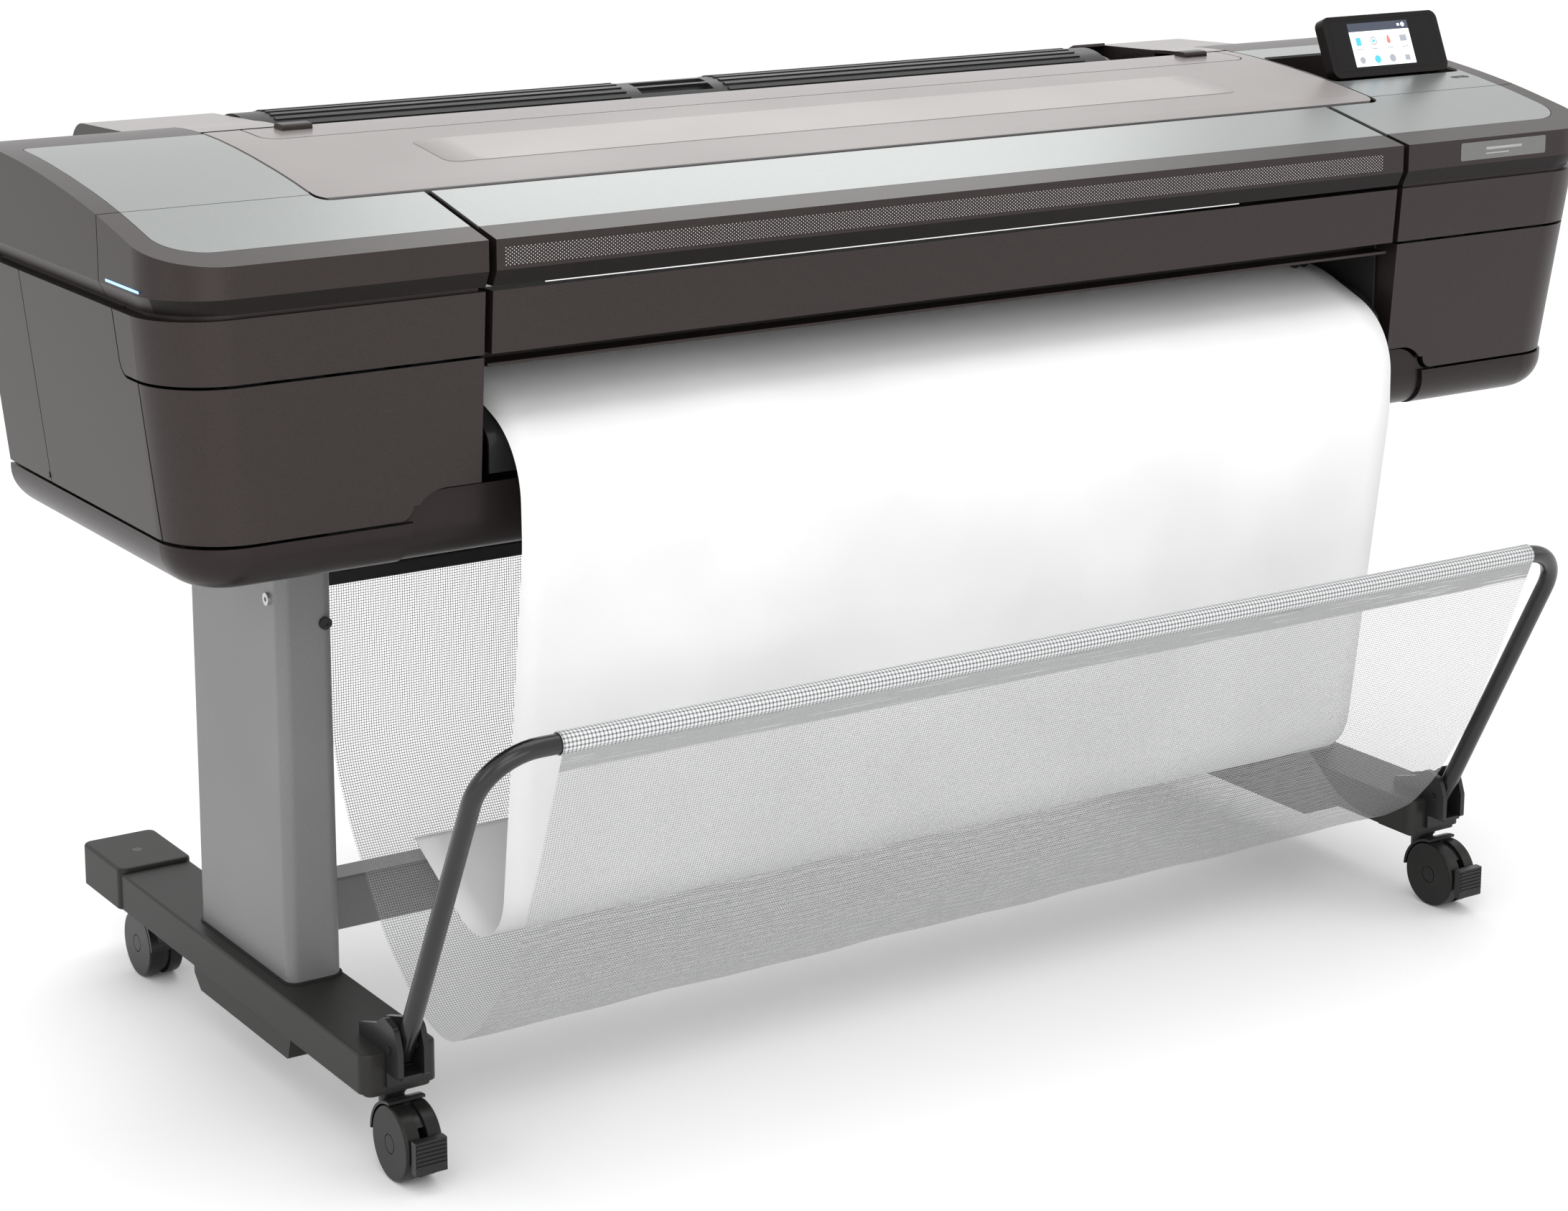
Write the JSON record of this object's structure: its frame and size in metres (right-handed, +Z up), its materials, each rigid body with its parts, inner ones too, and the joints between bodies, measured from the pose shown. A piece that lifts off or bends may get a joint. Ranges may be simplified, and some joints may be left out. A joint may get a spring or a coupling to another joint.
{
  "type": "large format plotter",
  "caption": "Wide roll-fed floor plotter on a wheeled stand, with hinged covers, tilting touch panel, rear roll bay, moving carriage and a cloth catch basket.",
  "frame": {"origin": "on the floor, below the middle of the whole machine's box", "axes": "+Z up, X along the machine's width with the touch panel at +X, front faces -Y"},
  "size_m": [1.803, 0.9016, 1.0267],
  "materials": {
    "body_dark": "speckled satin",
    "inlay_pale": "satin",
    "pan_dark": "satin",
    "window_smoke": "smoked gloss",
    "stand_grey": "powder coat",
    "foot_dark": "powder coat",
    "black_steel": "satin",
    "black_plastic": "satin",
    "mesh_fabric": "woven mesh",
    "paper": "matt",
    "bright_metal": "machined",
    "rail_aluminium": "extruded",
    "grip_rubber": "matt",
    "screen_glass": "gloss",
    "sheet_metal": "galvanised",
    "wheel_plastic": "satin"
  },
  "bodies": {
    "printer": {"foot_left": "foot_dark", "foot_right": "foot_dark", "column_left": "stand_grey", "column_right": "stand_grey", "cross_brace": "stand_grey", "basket_rail": "black_steel", "basket_clevises": "black_plastic", "fasteners": "bright_metal", "basket_fabric_rear": "mesh_fabric", "paper_sheet": "paper", "chassis": "sheet_metal", "lower_housing_left": "body_dark", "lower_housing_right": "body_dark", "mid_bands": "body_dark", "side_panels": "body_dark", "bottom_pan": "pan_dark", "center_panel": "pan_dark", "rear_cover_left": "body_dark", "rear_cover_right": "body_dark", "front_fascia": "body_dark", "rear_panel": "pan_dark", "rear_ports": "black_plastic", "rear_strip": "window_smoke", "rear_inlays": "inlay_pale", "roll_housing": "body_dark", "guide_rails": "rail_aluminium", "carriage_drive": "black_plastic", "platen": "black_plastic", "ink_cartridges": "black_plastic", "electronics_box": "rail_aluminium", "service_station": "black_plastic"},
    "basket": {"basket_tube": "black_steel", "basket_fabric_front": "mesh_fabric"},
    "ink_lid_left": {"ink_lid_left": "body_dark", "lid_inlay_left": "inlay_pale"},
    "ink_lid_right": {"ink_lid_right": "body_dark", "lid_inlay_right": "inlay_pale"},
    "trimmer_cover": {"trimmer_cover": "body_dark", "trimmer_inlay": "inlay_pale"},
    "window": {"window_cover": "window_smoke"},
    "roll_cover": {"roll_cover": "black_plastic"},
    "spindle": {"spindle": "black_plastic", "paper_roll": "paper"},
    "control_panel": {"control_panel": "black_plastic", "touch_screen": "screen_glass"},
    "power_button": {"power_button": "black_plastic"},
    "carriage": {"carriage": "black_plastic"},
    "trimmer_carriage": {"trimmer_carriage": "black_plastic"},
    "feed_roller": {"feed_roller": "rail_aluminium"},
    "pinch_rollers": {"pinch_rollers": "grip_rubber"},
    "caster_fl_fork": {"caster_fl_fork": "black_plastic"},
    "caster_fl_wheels": {"caster_fl_wheels": "wheel_plastic"},
    "caster_fl_brake": {"caster_fl_brake": "black_plastic"},
    "caster_fr_fork": {"caster_fr_fork": "black_plastic"},
    "caster_fr_wheels": {"caster_fr_wheels": "wheel_plastic"},
    "caster_fr_brake": {"caster_fr_brake": "black_plastic"},
    "caster_rl_fork": {"caster_rl_fork": "black_plastic"},
    "caster_rl_wheels": {"caster_rl_wheels": "wheel_plastic"},
    "caster_rr_fork": {"caster_rr_fork": "black_plastic"},
    "caster_rr_wheels": {"caster_rr_wheels": "wheel_plastic"}
  },
  "joints": [
    {"name": "basket_hinge", "type": "hinge", "parent": "printer", "child": "basket", "pos_m": [0, -0.269, 0.134], "axis": [-1, 0, 0], "range_deg": [0, 18]},
    {"name": "ink_lid_left_hinge", "type": "hinge", "parent": "printer", "child": "ink_lid_left", "pos_m": [-0.738, -0.113, 0.947], "axis": [-1, 0, 0], "range_deg": [0, 60]},
    {"name": "ink_lid_right_hinge", "type": "hinge", "parent": "printer", "child": "ink_lid_right", "pos_m": [0.747, -0.113, 0.947], "axis": [-1, 0, 0], "range_deg": [0, 60]},
    {"name": "trimmer_cover_hinge", "type": "hinge", "parent": "printer", "child": "trimmer_cover", "pos_m": [0.0095, -0.1315, 0.942], "axis": [-1, 0, 0], "range_deg": [0, 60]},
    {"name": "window_hinge", "type": "hinge", "parent": "printer", "child": "window", "pos_m": [0, 0.144, 0.977], "axis": [-1, 0, 0], "range_deg": [0, 75]},
    {"name": "roll_cover_hinge", "type": "hinge", "parent": "printer", "child": "roll_cover", "pos_m": [0, 0.36, 0.887], "axis": [-1, 0, 0], "range_deg": [0, 100]},
    {"name": "control_panel_tilt", "type": "hinge", "parent": "printer", "child": "control_panel", "pos_m": [0.774, -0.025, 0.946], "axis": [-1, 0, 0], "range_deg": [-15, 50]},
    {"name": "power_button_press", "type": "slide", "parent": "printer", "child": "power_button", "axis": [0, 0, -1], "range_m": [0, 0.0015], "stiffness_N_per_m": 400},
    {"name": "carriage_slide", "type": "slide", "parent": "printer", "child": "carriage", "axis": [-1, 0, 0], "range_m": [0, 1.19]},
    {"name": "trimmer_slide", "type": "slide", "parent": "printer", "child": "trimmer_carriage", "axis": [-1, 0, 0], "range_m": [0, 1.08]},
    {"name": "spindle_spin", "type": "hinge", "parent": "printer", "child": "spindle", "pos_m": [0, 0.277, 0.889], "axis": [1, 0, 0], "continuous": true},
    {"name": "feed_roller_spin", "type": "hinge", "parent": "printer", "child": "feed_roller", "pos_m": [0, 0.037, 0.74], "axis": [1, 0, 0], "continuous": true},
    {"name": "pinch_roller_spin", "type": "hinge", "parent": "printer", "child": "pinch_rollers", "pos_m": [0, 0.037, 0.7692], "axis": [1, 0, 0], "continuous": true},
    {"name": "caster_fl_swivel", "type": "hinge", "parent": "printer", "child": "caster_fl_fork", "pos_m": [-0.683, -0.237, 0.1], "axis": [0, 0, 1], "continuous": true},
    {"name": "caster_fl_roll", "type": "hinge", "parent": "caster_fl_fork", "child": "caster_fl_wheels", "pos_m": [-0.683, -0.27, 0.038], "axis": [1, 0, 0], "continuous": true},
    {"name": "caster_fl_brake_lever", "type": "hinge", "parent": "caster_fl_fork", "child": "caster_fl_brake", "pos_m": [-0.683, -0.292, 0.038], "axis": [1, 0, 0], "range_deg": [0, 12]},
    {"name": "caster_fr_swivel", "type": "hinge", "parent": "printer", "child": "caster_fr_fork", "pos_m": [0.683, -0.237, 0.1], "axis": [0, 0, 1], "continuous": true},
    {"name": "caster_fr_roll", "type": "hinge", "parent": "caster_fr_fork", "child": "caster_fr_wheels", "pos_m": [0.683, -0.27, 0.038], "axis": [1, 0, 0], "continuous": true},
    {"name": "caster_fr_brake_lever", "type": "hinge", "parent": "caster_fr_fork", "child": "caster_fr_brake", "pos_m": [0.683, -0.292, 0.038], "axis": [1, 0, 0], "range_deg": [0, 12]},
    {"name": "caster_rl_swivel", "type": "hinge", "parent": "printer", "child": "caster_rl_fork", "pos_m": [-0.683, 0.321, 0.1], "axis": [0, 0, 1], "continuous": true},
    {"name": "caster_rl_roll", "type": "hinge", "parent": "caster_rl_fork", "child": "caster_rl_wheels", "pos_m": [-0.683, 0.354, 0.038], "axis": [1, 0, 0], "continuous": true},
    {"name": "caster_rr_swivel", "type": "hinge", "parent": "printer", "child": "caster_rr_fork", "pos_m": [0.683, 0.321, 0.1], "axis": [0, 0, 1], "continuous": true},
    {"name": "caster_rr_roll", "type": "hinge", "parent": "caster_rr_fork", "child": "caster_rr_wheels", "pos_m": [0.683, 0.354, 0.038], "axis": [1, 0, 0], "continuous": true}
  ],
  "couplings": [
    {"joint": "pinch_roller_spin", "follows": "feed_roller_spin", "ratio": -2.5}
  ]
}
